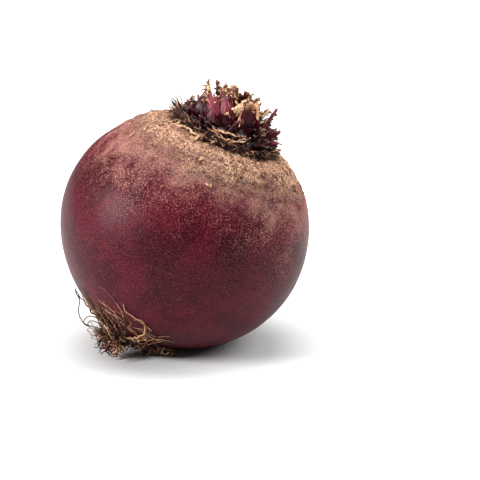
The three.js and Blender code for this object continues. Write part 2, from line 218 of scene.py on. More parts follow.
def smooth_min(a, b, rounding):
    share = np.clip(0.5 + 0.5 * (b - a) / rounding, 0, 1)
    return lerp(b, a, share) - rounding * share * (1 - share)


def unit(vectors):
    return vectors / np.maximum(np.linalg.norm(vectors, axis=-1, keepdims=True), 1e-9)


def noise_at(points, size, seed=0.0):
    """Smooth noise from -1 to 1 at each point. size is how far apart its blobs are, as the points are."""
    return np.array([noise.noise(Vector(point)) for point in np.asarray(points) / size + seed])


def wander(points, size, amount, seed, step):
    """Moves points by noise, by up to about amount. step sets the three axes' noises apart."""
    moves = [noise_at(points, size, seed + step * axis) for axis in range(3)]
    return points + amount * np.column_stack(moves)


def crumpled(points, number, size, amount):
    """Moves points a little, as if dried and crumpled."""
    return wander(points, size, amount, 5.3 * number, 31)


def any_way(number, use):
    """Three draws from -1 to 1, with use and the two after it."""
    return np.array([between(-1, 1, number, use + k) for k in range(3)])


def on_sphere(polar, turn):
    """The direction at an angle from the crown's axis and a turn round it."""
    across = np.sin(polar)
    return np.stack([across * np.cos(turn), across * np.sin(turn), np.cos(polar)], axis=-1)


def ring(count):
    """Even turns all the way round."""
    return 2 * math.pi * np.arange(count) / count


def grid(rows, columns):
    """Each of the rows with each of the columns, as two flat arrays."""
    first, second = np.meshgrid(rows, columns, indexing="ij")
    return first.ravel(), second.ravel()


def shares(path):
    """From 0 at a path's first point to 1 at its last."""
    return np.linspace(0, 1, len(path))


def place(points):
    """From the root's own frame in millimetres to the table's in metres."""
    x, y, z = np.asarray(points, dtype=float).T
    world = np.column_stack([
        x * math.cos(LEAN) + z * math.sin(LEAN),
        y,
        z * math.cos(LEAN) - x * math.sin(LEAN) + CENTRE_HEIGHT,
    ])
    return world * MM


# Meshes

class Pile:
    """Gathers vertices, faces and masks for one mesh. A mask is a number for each vertex."""

    def __init__(self, *masks):
        self.vertices, self.faces, self.count = [], [], 0
        self.masks = {mask: [] for mask in masks or ("tone", "along")}

    def add(self, vertices, faces, **masks):
        self.vertices.append(vertices)
        self.faces.extend(tuple(corner + self.count for corner in face) for face in faces)
        self.count += len(vertices)
        for mask, values in self.masks.items():
            values.append(np.broadcast_to(masks[mask], len(vertices)))

    def add_strand(self, path, width, flatness, sides, tone, along, up=None, crumple=None):
        """A tube along a path, flatness times as thick as it is wide. along is given for each point."""
        vertices, faces = strand(path, width, flatness * width, sides, up)
        if crumple is not None:
            vertices = crumpled(vertices, *crumple)
        self.add(vertices, faces, tone=tone, along=np.repeat(along, sides))

    def add_scrap(self, point, columns, rows, tone, crumple):
        """A crumpled plate. point, columns and rows are as for leaf()."""
        vertices, faces, _, along = leaf(point, columns, rows)
        self.add(crumpled(vertices, *crumple), faces, tone=tone, along=along)

    def piece(self, name, node, slot, material):
        points = place(np.concatenate(self.vertices))
        points[:, 2] = np.maximum(points[:, 2], 0)
        mesh = bpy.data.meshes.new(name)
        mesh.from_pydata(points.tolist(), [], self.faces)
        mesh.shade_smooth()
        for mask, values in self.masks.items():
            layer = mesh.attributes.new(mask, "FLOAT", "POINT")
            layer.data.foreach_set("value", np.concatenate(values).astype(np.float32))
        mesh.materials.append(material)
        piece = bpy.data.objects.new(name, mesh)
        bpy.context.collection.objects.link(piece)
        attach(piece, "root")
        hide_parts(node)
        return piece


def grid_faces(rows, columns, closed):
    """Quads between the rows of a grid of vertices. A closed grid joins its last column to its first."""
    last = columns if closed else columns - 1
    return [
        (row * columns + k, row * columns + (k + 1) % columns,
         (row + 1) * columns + (k + 1) % columns, (row + 1) * columns + k)
        for row in range(rows - 1)
        for k in range(last)
    ]


def flipped(faces):
    return [tuple(reversed(face)) for face in faces]


def strand(path, width, thickness, sides, up=None):
    """A tube along a path, as wide and thick as the arrays say. up is the side that its thickness faces."""
    tangents = unit(np.gradient(path, axis=0))
    normal = np.array([0.3, 0.5, 0.81]) if up is None else np.asarray(up, dtype=float)
    normals = []
    for tangent in tangents:
        normal = unit(normal - tangent * (normal @ tangent))
        normals.append(normal)
    normals = np.array(normals)
    binormals = np.cross(tangents, normals)
    angles = ring(sides)
    wide = np.asarray(width)[:, None, None] / 2 * np.cos(angles)[None, :, None]
    thick = np.asarray(thickness)[:, None, None] / 2 * np.sin(angles)[None, :, None]
    rings = path[:, None] + wide * binormals[:, None] + thick * normals[:, None]
    faces = grid_faces(len(path), sides, closed=True)
    last = (len(path) - 1) * sides
    faces += [tuple(reversed(range(sides))), tuple(range(last, last + sides))]
    return rings.reshape(-1, 3), faces


def leaf(point, columns, rows):
    """A thin closed plate. point gives the place for across, from -0.5 to 0.5, along, from 0 to 1, and
    through, from -0.5 to 0.5. It also returns across and along for each vertex."""
    along, across = grid(np.linspace(0, 1, rows), np.linspace(-0.5, 0.5, columns))
    outer = point(across, along, -0.5)
    inner = point(across, along, 0.5)
    count = rows * columns
    front = grid_faces(rows, columns, closed=False)
    back = [tuple(corner + count for corner in reversed(face)) for face in front]
    rim = list(range(columns))
    rim += [row * columns + columns - 1 for row in range(1, rows)]
    rim += [(rows - 1) * columns + k for k in range(columns - 2, -1, -1)]
    rim += [row * columns for row in range(rows - 2, 0, -1)]
    edge = [(rim[k - 1], rim[k - 1] + count, rim[k] + count, rim[k]) for k in range(len(rim))]
    return np.concatenate([outer, inner]), front + back + edge, np.tile(across, 2), np.tile(along, 2)


# Materials

def linear(red, green, blue):
    """A colour given as it shows on a screen, from 0 to 255, as Blender's nodes take it."""
    def channel(value):
        share = value / 255
        return share / 12.92 if share <= 0.04045 else ((share + 0.055) / 1.055) ** 2.4
    return (channel(red), channel(green), channel(blue), 1)


class Finish:
    """A procedural material: one Principled shader and the nodes that feed it."""

    def __init__(self, name, roughness=0.5, specular=0.5):
        self.material = bpy.data.materials.new(name)
        self.material.use_nodes = True
        self.tree = self.material.node_tree
        self.shader = self.tree.nodes["Principled BSDF"]
        self.shader.inputs["Roughness"].default_value = roughness
        self.shader.inputs["Specular IOR Level"].default_value = specular
        self.place = self.tree.nodes.new("ShaderNodeTexCoord").outputs["Object"]

    def new(self, kind, **inputs):
        node = self.tree.nodes.new("ShaderNode" + kind)
        for name, value in inputs.items():
            self.feed(node.inputs[name], value)
        return node

    def feed(self, socket, value):
        if isinstance(value, bpy.types.NodeSocket):
            self.tree.links.new(value, socket)
        else:
            socket.default_value = value

    def mask(self, name):
        node = self.tree.nodes.new("ShaderNodeAttribute")
        node.attribute_name = name
        return node.outputs["Fac"]

    def noise(self, size_mm, detail=4, roughness=0.55, where=None):
        node = self.new("TexNoise", Scale=1 / (size_mm * MM), Detail=detail, Roughness=roughness,
                        Vector=self.place if where is None else where)
        return node.outputs["Fac"]

    def math(self, operation, a, b):
        node = self.tree.nodes.new("ShaderNodeMath")
        node.operation = operation
        self.feed(node.inputs[0], a)
        self.feed(node.inputs[1], b)
        return node.outputs[0]

    def plus(self, a, b):
        return self.math("ADD", a, b)

    def times(self, a, b):
        return self.math("MULTIPLY", a, b)

    def about_zero(self, fac, amount):
        """A noise as a change up or down, at most half the amount."""
        return self.times(self.math("SUBTRACT", fac, 0.5), amount)

    def span(self, value, low, high, start=0.0, end=1.0):
        """value from low to high becomes start to end, clamped, with soft ends."""
        node = self.tree.nodes.new("ShaderNodeMapRange")
        node.interpolation_type = "SMOOTHSTEP"
        for socket, number in zip(node.inputs[1:5], (low, high, start, end)):
            socket.default_value = number
        self.feed(node.inputs[0], value)
        return node.outputs[0]

    def mix(self, factor, a, b):
        node = self.tree.nodes.new("ShaderNodeMix")
        node.data_type = "RGBA"
        colours = [socket for socket in node.inputs if socket.type == "RGBA"]
        self.feed(node.inputs[0], factor)
        self.feed(colours[0], a)
        self.feed(colours[1], b)
        return [socket for socket in node.outputs if socket.type == "RGBA"][0]

    def bump(self, height, distance_mm, under=None):
        node = self.new("Bump", Strength=1.0, Distance=distance_mm * MM, Height=height)
        if under is not None:
            self.feed(node.inputs["Normal"], under)
        return node.outputs["Normal"]

    def finish(self, colour, roughness=None, normal=None):
        self.feed(self.shader.inputs["Base Color"], colour)
        if roughness is not None:
            self.feed(self.shader.inputs["Roughness"], roughness)
        if normal is not None:
            self.feed(self.shader.inputs["Normal"], normal)
        return self.material


def skin_finish():
    """Dark wine, finely stippled all over, under dust with a painted highlight and then cork, which thicken
    towards the crown.
    """
    skin = Finish("beet_skin", specular=0.1)
    cork, crack, dust = skin.mask("cork"), skin.mask("crack"), skin.mask("dust")
    fine, mottle = skin.noise(0.45, 2, 0.6), skin.noise(0.6, 4, 0.7)
    wine = skin.mix(skin.span(skin.noise(14, 3), 0.35, 0.65), linear(55, 6, 18), linear(80, 12, 30))
    blotch = skin.span(skin.noise(2.4, 8, 0.7), 0.45, 0.75, 0.0, 0.3)
    wine = skin.mix(blotch, wine, linear(72, 14, 24))
    wine = skin.mix(skin.span(fine, 0.38, 0.5, 0.75, 0.0), wine, linear(26, 4, 9))
    # Pale specks, paler and more of them where the dust and the painted highlight are
    light = skin.times(skin.span(fine, 0.52, 0.66), skin.span(dust, 0.0, 0.8, 0.4, 0.65))
    wine = skin.mix(light, wine, skin.mix(dust, linear(112, 56, 58), linear(200, 150, 126)))
    # Dust and a painted highlight, in soft patches: the pale colours stand in partly for dust and partly
    # for the light's sheen on the lit side and the shoulder
    dust_and_highlight_cover = skin.span(skin.plus(dust, skin.about_zero(skin.noise(5, 5, 0.6), 0.9)), 0.42, 1.15)
    dust_and_highlight_cover = skin.times(dust_and_highlight_cover, skin.span(mottle, 0.38, 0.58, 0.3, 0.9))
    dusty = skin.mix(skin.span(dust, 0.2, 0.8), linear(126, 60, 70), linear(158, 110, 100))
    wine = skin.mix(dust_and_highlight_cover, wine, dusty)
    # Cork, broken up into crusts
    crust = skin.noise(0.85, 6, 0.75)
    cover = skin.span(skin.plus(cork, skin.about_zero(crust, 2.6)), 0.45, 1.05)
    tan = skin.mix(skin.span(mottle, 0.38, 0.64), linear(140, 94, 72), linear(222, 182, 148))
    colour = skin.mix(skin.times(cover, 0.85), wine, tan)
    pits = skin.times(skin.span(skin.noise(0.6, 3, 0.7), 0.37, 0.45, 1.0, 0.0),
                      skin.span(cork, 0.05, 0.6, 0.0, 0.9))
    colour = skin.mix(pits, colour, linear(66, 28, 24))
    colour = skin.mix(skin.times(crack, 0.85), colour, linear(40, 18, 16))
    roughness = skin.plus(skin.span(dust_and_highlight_cover, 0.0, 1.0, 0.36, 0.8), skin.times(skin.noise(2.5, 5), 0.1))
    crusts = skin.bump(skin.times(crust, cover), 0.6, under=skin.bump(fine, 0.1))
    return skin.finish(colour, roughness, crusts)


def stalk_finish():
    """Fleshy stalk: darkest at its foot, with fine lengthwise fibres, dried tan towards its torn end."""
    stalk = Finish("beet_stalk", specular=0.3)
    along, across = stalk.mask("along"), stalk.mask("across")
    tone, dry = stalk.mask("tone"), stalk.mask("dry")
    stripes = stalk.new("CombineXYZ", X=stalk.times(across, 0.008), Y=stalk.times(along, 0.0012),
                        Z=stalk.times(tone, 0.2)).outputs[0]
    fibre = stalk.noise(0.55, 5, 0.65, where=stripes)
    crimson = stalk.mix(stalk.span(tone, 0.2, 0.9), linear(78, 13, 30), linear(124, 34, 54))
    for cover, dark in (
        (stalk.span(fibre, 0.38, 0.68, 0.0, 0.55), linear(66, 12, 26)),
        (stalk.span(tone, 0.08, 0.4, 0.9, 0.0), linear(44, 18, 20)),
        (stalk.span(along, 0.1, 0.65, 0.9, 0.0), linear(30, 8, 12)),
        (stalk.span(stalk.noise(1.8, 5), 0.52, 0.66, 0.0, 0.7), linear(42, 14, 18)),
    ):
        crimson = stalk.mix(cover, crimson, dark)
    ragged = stalk.plus(along, stalk.about_zero(stalk.noise(1.4, 6, 0.75), 0.9))
    dried = stalk.plus(ragged, stalk.times(dry, 0.45))
    tan = stalk.mix(stalk.span(stalk.noise(0.8, 5), 0.35, 0.62), linear(112, 66, 48), linear(236, 200, 158))
    colour = stalk.mix(stalk.span(dried, 1.06, 1.16), crimson, tan)
    return stalk.finish(colour, stalk.span(dried, 0.95, 1.15, 0.38, 0.8), stalk.bump(fibre, 0.25))


def dry_finish(name, dark, middle, pale):
    """Dry plant matter: each strip has its own tone, from dark to pale, and pales towards its tip."""
    dry = Finish(name, roughness=0.85, specular=0.25)
    tone, along = dry.mask("tone"), dry.mask("along")
    age = dry.plus(dry.plus(tone, dry.times(along, 0.22)), dry.about_zero(dry.noise(1.1, 5), 0.5))
    colour = dry.mix(dry.span(age, 0.2, 0.6), dark, middle)
    colour = dry.mix(dry.span(age, 0.62, 1.0), colour, pale)
    return dry.finish(colour, normal=dry.bump(dry.noise(0.35, 4), 0.12))


# The root

def patchy(turn):
    """How deep the shoulder's furrows and cracks are, from 0 to 1, on each side of the crown."""
    return 0.5 + 0.5 * np.sin(2 * turn + 2.6)


def shoulder_relief(polar, turn):
    down = polar * HALF_WIDTH
    cork = fade(polar, 26, 33) * (1 - fade(polar, 44, 60))
    waver = 0.9 * np.sin(3 * turn + 1) + 0.6 * np.sin(7 * turn)
    rings = np.cos(2 * math.pi * down / RING_SPACING + waver)
    furrow = np.maximum(0, np.cos(FURROWS * turn + 1.4 * np.sin(2 * turn + 9 * polar))) ** 3
    return cork * (RING_RELIEF * rings - FURROW_DEPTH * furrow * patchy(turn))


def skin_radius(direction):
    """The distance from the root's middle to its skin along each direction."""
    z = direction[..., 2]
    polar = np.arccos(np.clip(z, -1, 1))
    turn = np.arctan2(direction[..., 1], direction[..., 0])
    across = np.sin(polar)
    ball = 1 / np.hypot(across / HALF_WIDTH, z / HALF_HEIGHT)
    top = CROWN_PLANE / np.maximum(z, 0.2)
    lobes = np.cos(2 * turn + 0.7) + 0.6 * np.cos(3 * turn + 2 + 2 * polar)
    swell = 1 + across ** 2 * (LOBE_SWELL * lobes - SIDE_SWELL * np.cos(turn))
    from_tail = np.arccos(np.clip(direction @ TAIL, -1, 1))
    tail = TAIL_SWELL * np.exp(-((from_tail / TAIL_SPREAD) ** 2))
    shift = SHOULDER_SHIFT * np.cos(turn) * np.exp(-(((polar - SHOULDER_AT) / SHOULDER_SPREAD) ** 2))
    slope = CROWN_SLOPE * fade(polar, 18, 32) * (0.5 - 0.5 * np.cos(turn))
    body = smooth_min(ball * swell, top, CROWN_ROUNDING + slope)
    return body + tail + shift + shoulder_relief(polar, turn)


def keep_off_skin(point, clearance):
    direction = unit(point)
    least = skin_radius(direction) + clearance
    return direction * least if point @ point < least * least else point


table_normal = np.array([-math.sin(LEAN), 0, math.cos(LEAN)])


def keep_off_table(point, clearance):
    height = CENTRE_HEIGHT + point[2] * math.cos(LEAN) - point[0] * math.sin(LEAN)
    return point + table_normal * max(0, clearance - height)


def root_skin():
    """The skin with the cork's crusts and cracks as real relief."""
    row_share = np.linspace(0, 1, SKIN_ROWS)
    polar_stops = np.radians(np.interp(row_share, [0, 0.08, 0.46, 1], [0, 24, 64, 180]))
    polar, turn = grid(polar_stops[1:-1], ring(SKIN_COLUMNS))
    direction = on_sphere(polar, turn)
    surface = direction * HALF_WIDTH
    border = math.radians(8) * noise_at(surface, 9) + math.radians(4) * noise_at(surface, 3, 7)
    cork = fade(polar + border, 20, 25) * (1 - fade(polar + border, 34, 66))
    along_meridian = np.column_stack([turn * 11, polar * 4.5, np.sin(turn) * 3])
    split = 1 - np.abs(noise_at(along_meridian, 1.0, 3))
    crack = smoothstep(split, 0.9, 0.985) * cork * (0.35 + 0.65 * patchy(turn))
    crust = noise_at(surface, 2.2, 11) + 0.6 * noise_at(surface, 1.1, 17)
    undulation = 0.12 * noise_at(surface, 11, 23) + 0.05 * noise_at(surface, 4, 29)
    radius = skin_radius(direction) + cork * 0.22 * crust - 0.55 * crack + undulation
    pole = np.array([[0, 0, 1.0], [0, 0, -1.0]])
    points = np.concatenate([direction * radius[:, None], pole * skin_radius(pole)[:, None]])
    rows = SKIN_ROWS - 2
    faces = flipped(grid_faces(rows, SKIN_COLUMNS, closed=True))
    north, south = rows * SKIN_COLUMNS, rows * SKIN_COLUMNS + 1
    last = (rows - 1) * SKIN_COLUMNS
    for k in range(SKIN_COLUMNS):
        after = (k + 1) % SKIN_COLUMNS
        faces += [(north, k, after), (south, last + after, last + k)]
    # The dust and the painted highlight: strongest towards the crown, where the light falls, and fading
    # down the sides
    dusty = polar + 2 * border + DUST_AND_HIGHLIGHT_SHIFT * np.sin(turn) ** 2
    dust = (1 - fade(dusty, 40, 112)) ** 1.3
    skin = Pile("cork", "crack", "dust")
    skin.add(points, faces, cork=np.append(cork, [0, 0]), crack=np.append(crack, [0, 0]),
             dust=np.append(dust, [1, 0]))
    return skin.piece("root_skin", "swollen_root", "skin", skin_finish())


# The head of leaf stalks

def dome_height(radius):
    return CROWN_PLANE + DOME_HEIGHT * np.sqrt(1 - np.minimum(radius / DOME_RADIUS, 0.99) ** 2)


def spiral_stalk(number):
    share = math.sqrt((number + 0.6) / SPIRAL_STALKS)
    return dict(
        turn=math.degrees(number * GOLDEN_ANGLE) + between(-9, 9, number, 1),
        radius=SPIRAL_RADIUS * share,
        lean=5 + 40 * share ** 1.8 + between(-8, 8, number, 2),
        bend=between(-0.45, 0.35, number, 5),
        sway=between(-1.5, 1.5, number, 9),
        length=(10.8 - 5.6 * share ** 2) * between(0.7, 1.1, number, 3),
        width=(6 + 1.6 * share) * between(0.8, 1.2, number, 4),
        arc=between(95, 150, number, 6),
        dry=between(0.25, 0.9, number, 10) * (1 - share ** 2) - 0.1 * share ** 2,
    )


def distance_between(a, b):
    turn = math.radians(a["turn"] - b["turn"])
    return math.sqrt(a["radius"] ** 2 + b["radius"] ** 2 - 2 * a["radius"] * b["radius"] * math.cos(turn))


def is_in_opening(stalk):
    turn = math.radians(stalk["turn"])
    foot = stalk["radius"] * np.array([math.cos(turn), math.sin(turn)])
    return np.linalg.norm(foot - OPENING) < OPENING_ROOM


def all_stalks():
    spiral = [spiral_stalk(number) for number in range(SPIRAL_STALKS)]
    free = [s for s in spiral if all(distance_between(s, main) > STALK_SPACING for main in MAIN_STALKS)]
    return MAIN_STALKS + [s for s in free if not is_in_opening(s)]


def stalk_point(stalk, number, across, along, through):
    """The place for across, along and through as for leaf(). The torn end and the ribs are finer than the
    solid's."""
    lean = math.radians(stalk["lean"])
    bend = stalk["bend"]
    arc = math.radians(stalk["arc"])
    wall = between(1.2, 1.6, number, 7) * (1 - 0.35 * (2 * across) ** 2) * (1 - 0.55 * along)
    phase = 6 * chance(number, 8)
    torn = (0.08 * (1 + np.sin(9 * across + phase)) + 0.06 * (1 + np.sin(23 * across + 2 * phase))
            + 0.03 * np.sin(61 * across + 5 * phase) + 0.02 * np.sin(113 * across + phase))
    worn = END_ROUNDING * (2 * across) ** 2
    reached = along * (1 - (torn + worn) * along)
    tilt = lean + bend * reached
    width = stalk["width"] * (1.08 - 0.28 * along)
    bow = width / arc
    outward = stalk["length"] * (math.cos(lean) - np.cos(tilt)) / bend
    upward = stalk["length"] * (np.sin(tilt) - math.sin(lean)) / bend
    ribs = 0.05 * np.cos(2 * math.pi * 7 * across + phase) * (1 - through)
    inward = stalk.get("facing", INWARD) * bow * (1 - np.cos(arc * across)) + through * wall + ribs
    sideways = bow * np.sin(arc * across) + stalk["sway"] * reached + stalk.get("aside", 0)
    radius = stalk["radius"] + outward - inward * np.cos(tilt)
    height = dome_height(stalk["radius"]) - STALK_SUNK + upward + inward * np.sin(tilt)
    turn = math.radians(stalk["turn"])
    return np.column_stack([
        radius * math.cos(turn) - sideways * math.sin(turn),
        radius * math.sin(turn) + sideways * math.cos(turn),
        height,
    ])


def spot(stalk, number, across, along, through):
    """One place on a stalk."""
    return stalk_point(stalk, number, np.array([across]), np.array([along]), through)[0]


def add_stalk(pile, stalk, number, columns, rows, crumple_size, tone, dry):
    def point(across, along, through):
        return crumpled(stalk_point(stalk, number, across, along, through), number, crumple_size, 0.35)
    vertices, faces, across, along = leaf(point, columns, rows)
    pile.add(vertices, faces, along=along, across=across, tone=tone, dry=dry)


def stalk_sheaths():
    sheaths = Pile("along", "across", "tone", "dry")
    for number, stalk in enumerate(all_stalks()):
        bright = 1 if number < len(MAIN_STALKS) else max(0.15, 1 - (stalk["radius"] / 11) ** 2)
        add_stalk(sheaths, stalk, number, 26, 26, 3.6, chance(number, 40) * bright, stalk["dry"])
    return sheaths.piece("stalk_sheaths", "leaf_stalks", "stalk", STALK_FINISH)


def crown_heart():
    """The dome that the stalks stand on, and the small unopened stalks in among them."""
    heart = Pile("along", "across", "tone", "dry")
    rows, columns = 26, 72
    polar, turn = grid(np.linspace(0.02, 1.5, rows), ring(columns))
    reach = DOME_RADIUS - 0.6
    dome = on_sphere(polar, turn) * (reach, reach, DOME_HEIGHT) + (0, 0, CROWN_PLANE)
    faces = flipped(grid_faces(rows, columns, closed=True))
    faces.append(tuple(range(columns)))
    heart.add(crumpled(dome, 3, 2.2, 0.7), faces, along=0.1, across=turn, tone=0.3, dry=0)
    for number in range(INNER_STALKS):
        share = math.sqrt((number + 0.5) / INNER_STALKS)
        inner = dict(
            turn=math.degrees(number * GOLDEN_ANGLE + 1),
            radius=INNER_RADIUS * share,
            lean=4 + 60 * share ** 2,
            bend=between(-0.5, 0.7, number, 44),
            sway=between(-1.5, 1.5, number, 46),
            length=between(3.5, 8.5, number, 41) * (1 - 0.2 * share),
            width=between(1.6, 4.6, number, 42),
            arc=between(60, 200, number, 45),
        )
        if not is_in_opening(inner):
            tone = chance(number, 43) * (1 - 0.85 * share ** 2)
            dry = between(0, 0.9, number, 47) * (1 - share ** 2) - 0.2 * share ** 2
            add_stalk(heart, inner, number + FIRST_INNER, 9, 14, 1.8, tone, dry)
    return heart.piece("crown_heart", "leaf_stalks", "stalk", STALK_FINISH)


def flap(foot, out, up, number, use, widths, lengths, curls):
    """A thin dry scrap that leaves foot along up and curls towards out. Its three sizes are drawn with use
    and the two after it."""
    side = unit(np.cross(up, out))
    width, length = between(*widths, number, use), between(*lengths, number, use + 1)
    curl = between(*curls, number, use + 2)
    reach = length / max(curl, 0.05)

    def point(across, along, through):
        turned = curl * along
        spread = across * width * (1 - 0.55 * along) + 0.3 * np.sin(7 * along + number)
        middle = (reach * np.sin(turned))[:, None] * up + (reach * (1 - np.cos(turned)))[:, None] * out
        normal = -np.sin(turned)[:, None] * up + np.cos(turned)[:, None] * out
        return foot + middle + spread[:, None] * side + through * 0.28 * normal
    return point


def crumb(middle, size, number):
    """A small lump with an uneven surface."""
    rows, columns = 6, 8
    direction = on_sphere(*grid(math.pi * (np.arange(rows) + 0.5) / rows, ring(columns)))
    stretch = np.array([between(0.6, 1.5, number, 120), between(0.6, 1.5, number, 121),
                        between(0.5, 1.1, number, 122)])
    lump = direction * stretch * size / 2
    lump = lump * (1 + 0.6 * noise_at(lump + 7.1 * number, 0.8 * size))[:, None]
    faces = flipped(grid_faces(rows, columns, closed=True))
    faces += [tuple(range(columns)), tuple(reversed(range((rows - 1) * columns, rows * columns)))]
    return middle + lump, faces


def scattered_crumbs(chosen, count, first, use, level, through, size, tone, along):
    """Crumbs on the chosen stalks, in turn. first numbers their forms, and their draws are use and the four
    after it: across, along by level, through, size and tone."""
    crumbs = Pile()
    stalks = all_stalks()
    for number in range(count):
        k = chosen[number % len(chosen)]
        middle = spot(stalks[k], k, between(-0.5, 0.5, number, use), level(chance(number, use + 1)),
                      between(*through, number, use + 2))
        vertices, faces = crumb(middle, between(*size, number, use + 3), number + first)
        crumbs.add(vertices, faces, tone=between(*tone, number, use + 4), along=along)
    return crumbs


def crown_crumbs():
    """Dry crumbs of withered leaf that crowd on the tallest stalks' ends."""
    tall = [k for k, stalk in enumerate(all_stalks()) if stalk["radius"] < CRUMBS_WITHIN]
    crumbs = scattered_crumbs(tall, CRUMBS, 0, 123, level=lambda share: 1 - 0.3 * share ** 2,
                              through=(-0.7, 0.9), size=(0.45, 1.25), tone=(-0.5, 0.8), along=0.3)
    return crumbs.piece("crown_crumbs", "leaf_stalks", "stalk", TORN_FINISH)


def crown_clutter():
    """Dark withered scraps caught on the outer stalks."""
    outer = [k for k, stalk in enumerate(all_stalks())
             if k >= SMOOTH_SHEATHS and stalk["radius"] > CLUTTER_BEYOND]
    clutter = scattered_crumbs(outer, CLUTTER, CRUMBS, 180, level=lambda share: lerp(0.15, 0.95, share),
                               through=(-0.9, -0.4), size=(0.4, 1.1), tone=(-0.3, 0.9), along=0.2)
    return clutter.piece("crown_clutter", "leaf_stalks", "stalk", HUSK_FINISH)


def torn_flaps():
    """Pale torn skin that hangs on the dry stalks' ends."""
    flaps = Pile()
    for number, stalk in enumerate(all_stalks()):
        for k in range(round(FLAPS_A_STALK * stalk["dry"])):
            draw = number * FLAPS_A_STALK + k
            across, level = between(-0.42, 0.42, draw, 50), between(0.78, 1.0, draw, 51)
            foot = spot(stalk, number, across, level, -0.4)
            up = unit(foot - spot(stalk, number, across, level - 0.2, -0.4))
            out = unit(foot - spot(stalk, number, across, level, 0.5))
            out = out * (1 if chance(draw, 52) < 0.7 else -1)
            out = unit(out - up * (out @ up))
            shape = flap(foot - 0.5 * up, out, up, draw, 53, (0.5, 1.8), (0.9, 2.6), (0.5, 3.4))
            flaps.add_scrap(shape, 5, 9, between(-0.4, 0.85, draw, 56), crumple=(draw, 1.3, 0.38))
    return flaps.piece("torn_flaps", "leaf_stalks", "stalk", TORN_FINISH)


def hollow_rim():
    """The thick frayed edge of the stalk that has torn open, and the fibres that hang down its side."""
    rim = Pile()
    hollow = MAIN_STALKS[0]
    steps = 24
    for number in range(RIM_FIBRES):
        first = between(-0.5, 0.3, number, 110)
        across = np.linspace(first, min(0.5, first + between(0.2, 0.9, number, 111)), steps)
        level = 1 - between(0.0, 0.12, number, 112) ** 1.3
        path = stalk_point(hollow, 0, across, np.full(steps, level), between(-0.5, 0.7, number, 113))
        share = shares(path)
        width = between(0.5, 1.3, number, 114) * (1 - 0.7 * np.abs(2 * share - 1) ** 2)
        rim.add_strand(crumpled(path, number, 1.6, 0.45), width, 0.6, 6,
                       between(0.45, 1.05, number, 115), share, crumple=(number, 0.8, 0.2))
    front = np.array([0.1, -1, 0.3])
    for number in range(RIM_FRAYS):
        across = -0.5 + 0.22 * chance(number, 170) ** 1.5
        foot = spot(hollow, 0, across, between(0.72, 1.0, number, 171), 0.0)
        ahead = unit(np.array([-1, between(-0.6, 0.3, number, 172), between(-0.9, 0.5, number, 173)]))
        out = unit(front - ahead * (ahead @ front))
        shape = flap(foot - 0.6 * ahead, out, ahead, number, 174, (0.7, 1.7), (1.6, 3.8), (0.3, 1.8))
        rim.add_scrap(shape, 6, 12, between(0.5, 1.05, number, 177), crumple=(number, 1.2, 0.35))
    for number in range(RIM_STRINGS):
        level = np.linspace(1.0, 0.12, 26)
        across = -0.5 + between(0.0, 0.07, number, 116) + 0.03 * np.sin(7 * level + number)
        path = stalk_point(hollow, 0, across, level, between(-0.9, 0.4, number, 117))
        width = between(0.35, 0.7, number, 118) * (1 - 0.5 * (1 - level))
        rim.add_strand(crumpled(path, number + 40, 2.0, 0.5), width, 0.7, 6,
                       between(0.4, 0.9, number, 119), 1 - level)
    return rim.piece("hollow_rim", "leaf_stalks", "stalk", TORN_FINISH)


# The collar of dry leaf bases

def collar_bed():
    """The low matted ring that the husks grow from."""
    rows, columns = 22, 260
    section, turn = grid(ring(rows), ring(columns))
    swell = COLLAR_THICKNESS / 2 * (1 + 0.14 * np.sin(9 * turn) + 0.12 * np.sin(14 * turn + 1))
    radius = COLLAR_RADIUS + swell * np.cos(section)
    height = COLLAR_HEIGHT + swell * np.sin(section)
    points = np.column_stack([radius * np.cos(turn) + COLLAR_SHIFT, radius * np.sin(turn), height])
    rough = 0.5 * noise_at(points, 1.3, 3) + 0.3 * noise_at(points, 0.6, 5)
    points = points + unit(points) * rough[:, None]
    last = (rows - 1) * columns
    faces = grid_faces(rows, columns, closed=True)
    faces += [(last + k, last + (k + 1) % columns, (k + 1) % columns, k) for k in range(columns)]
    bed = Pile()
    bed.add(points, faces, tone=0.12, along=0.2)
    return bed.piece("collar_bed", "dry_leaf_collar", "husk", HUSK_FINISH)


def husk_path(number, steps, wild):
    turn = number * GOLDEN_ANGLE + between(-0.1, 0.1, number, 11)
    length = between(2.5, 6, number, 12) * (0.85 - 0.15 * math.cos(turn)) * wild
    rise = math.radians(between(-35, 50, number, 13))
    droop = math.radians(between(-20, 60, number, 14))
    sideways = between(-1.3, 1.3, number, 15)
    start = COLLAR_RADIUS + between(-0.6, 1, number, 16)
    point = np.array([start * math.cos(turn) + COLLAR_SHIFT, start * math.sin(turn), COLLAR_HEIGHT + 1])
    point = keep_off_skin(point, 0.9)
    path = [point]
    for step in range(1, steps + 1):
        along = step / steps
        tilt = rise - droop * along
        heading = turn + sideways * along + 0.25 * wild * math.sin(5 * along + number)
        move = on_sphere(math.pi / 2 - tilt, heading)
        point = keep_off_skin(point + move * length / steps, 0.55)
        path.append(point)
    return np.array(path)


def husk_strips():
    """The dry strips that lie outward all round the head."""
    strips = Pile()
    for number in range(HUSKS):
        path = husk_path(number, 11, between(0.55, 1.05, number, 60))
        along = shares(path)
        width = between(0.8, 2.3, number, 61) * (1 - 0.78 * along ** 1.5)
        vertices, faces = strand(path, width, 0.42 * (1 - 0.5 * along), 6, up=unit(path[0]))
        vertices = crumpled(vertices, number, 1.5, 0.32)
        tone = between(0.0, 0.42, number, 62) + (0.5 if chance(number, 63) > 0.82 else 0)
        strips.add(vertices, faces, tone=tone, along=np.repeat(along, 6))
    return strips.piece("husk_strips", "dry_leaf_collar", "husk", HUSK_FINISH)


